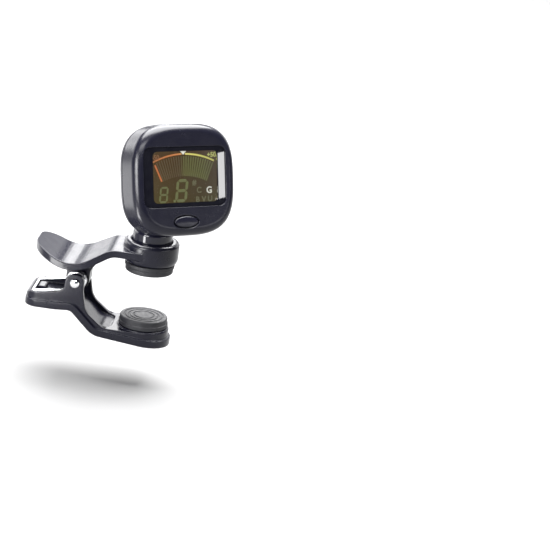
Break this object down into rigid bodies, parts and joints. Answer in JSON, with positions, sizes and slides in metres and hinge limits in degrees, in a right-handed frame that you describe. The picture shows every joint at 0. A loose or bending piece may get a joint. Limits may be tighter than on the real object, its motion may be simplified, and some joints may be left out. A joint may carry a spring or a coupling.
{
  "type": "clip-on tuner",
  "caption": "Clip-on instrument tuner: rounded-square display head with an oval button on a swivelling, tilting post in the collar of a sprung two-lever clip with rubber pads.",
  "frame": {"origin": "centre of the upper rubber pad's gripping face, on the swivel axis", "axes": "+X from the handles towards the jaws, +Y across the clip parallel to the pivot pin, +Z out of the headstock along the swivel axis"},
  "size_m": [0.0642, 0.0359, 0.0775],
  "materials": {
    "satin_plastic": "satin moulded black",
    "gloss_plastic": "polished black",
    "inner_plastic": "matte",
    "rubber": "matte soft rubber",
    "chrome": "polished",
    "steel": "plated",
    "spring_steel": "drawn wire",
    "brass": "plain",
    "nylon": "natural",
    "lens": "clear window in a black printed border, polished",
    "lcd": "backlit colour LCD",
    "light_guide": "clear acrylic",
    "board": "solder mask",
    "insulation": "wire insulation"
  },
  "bodies": {
    "clip_base": {"upper_lever": "satin_plastic", "upper_pad": "rubber", "pivot_pin": "chrome", "pin_retainer": "steel"},
    "lower_jaw": {"lower_lever": "satin_plastic", "lower_pad": "rubber", "clip_spring": "spring_steel"},
    "column": {"swivel_column": "gloss_plastic", "swivel_screw": "steel", "swivel_washer": "steel", "wave_spring": "spring_steel", "tilt_screw": "steel", "tilt_nut": "steel", "tilt_washer_1": "nylon", "tilt_washer_2": "nylon"},
    "head": {"front_shell": "satin_plastic", "rear_shell": "satin_plastic", "display_lens": "lens", "lcd_frame": "inner_plastic", "lcd_glass": "lcd", "backlight_panel": "light_guide", "zebra_strip": "rubber", "circuit_board": "board", "controller_chip": "inner_plastic", "tact_switch": "inner_plastic", "piezo_sensor": "brass", "sensor_lead": "insulation", "coin_cell": "steel", "battery_spring_contact": "brass", "battery_side_contact": "brass", "shell_screw_1": "steel", "shell_screw_2": "steel", "shell_screw_3": "steel", "shell_screw_4": "steel"},
    "button": {"power_button": "satin_plastic"},
    "door": {"battery_door": "satin_plastic"}
  },
  "joints": [
    {"name": "jaw_pivot", "type": "hinge", "parent": "clip_base", "child": "lower_jaw", "pos_m": [-0.0229, 0, -0.0054], "axis": [0, 1, 0], "range_deg": [-27, 22], "stiffness_Nm_per_rad": 0.18, "springref_deg": -57.3, "deforming": ["clip_spring"]},
    {"name": "swivel_turn", "type": "hinge", "parent": "clip_base", "child": "column", "pos_m": [0, 0, 0.0107], "axis": [0, 0, 1], "continuous": true},
    {"name": "head_tilt", "type": "hinge", "parent": "column", "child": "head", "pos_m": [0, 0, 0.019], "axis": [-0.8121, -0.5835, 0], "range_deg": [-22, 72]},
    {"name": "power_button_press", "type": "slide", "parent": "head", "child": "button", "axis": [-0.5595, 0.7786, -0.284], "range_m": [0, 0.0005], "stiffness_N_per_m": 2500},
    {"name": "battery_door_turn", "type": "hinge", "parent": "head", "child": "door", "pos_m": [0.00235, -0.00327, 0.03673], "axis": [-0.5595, 0.7786, -0.284], "range_deg": [0, 25]}
  ]
}
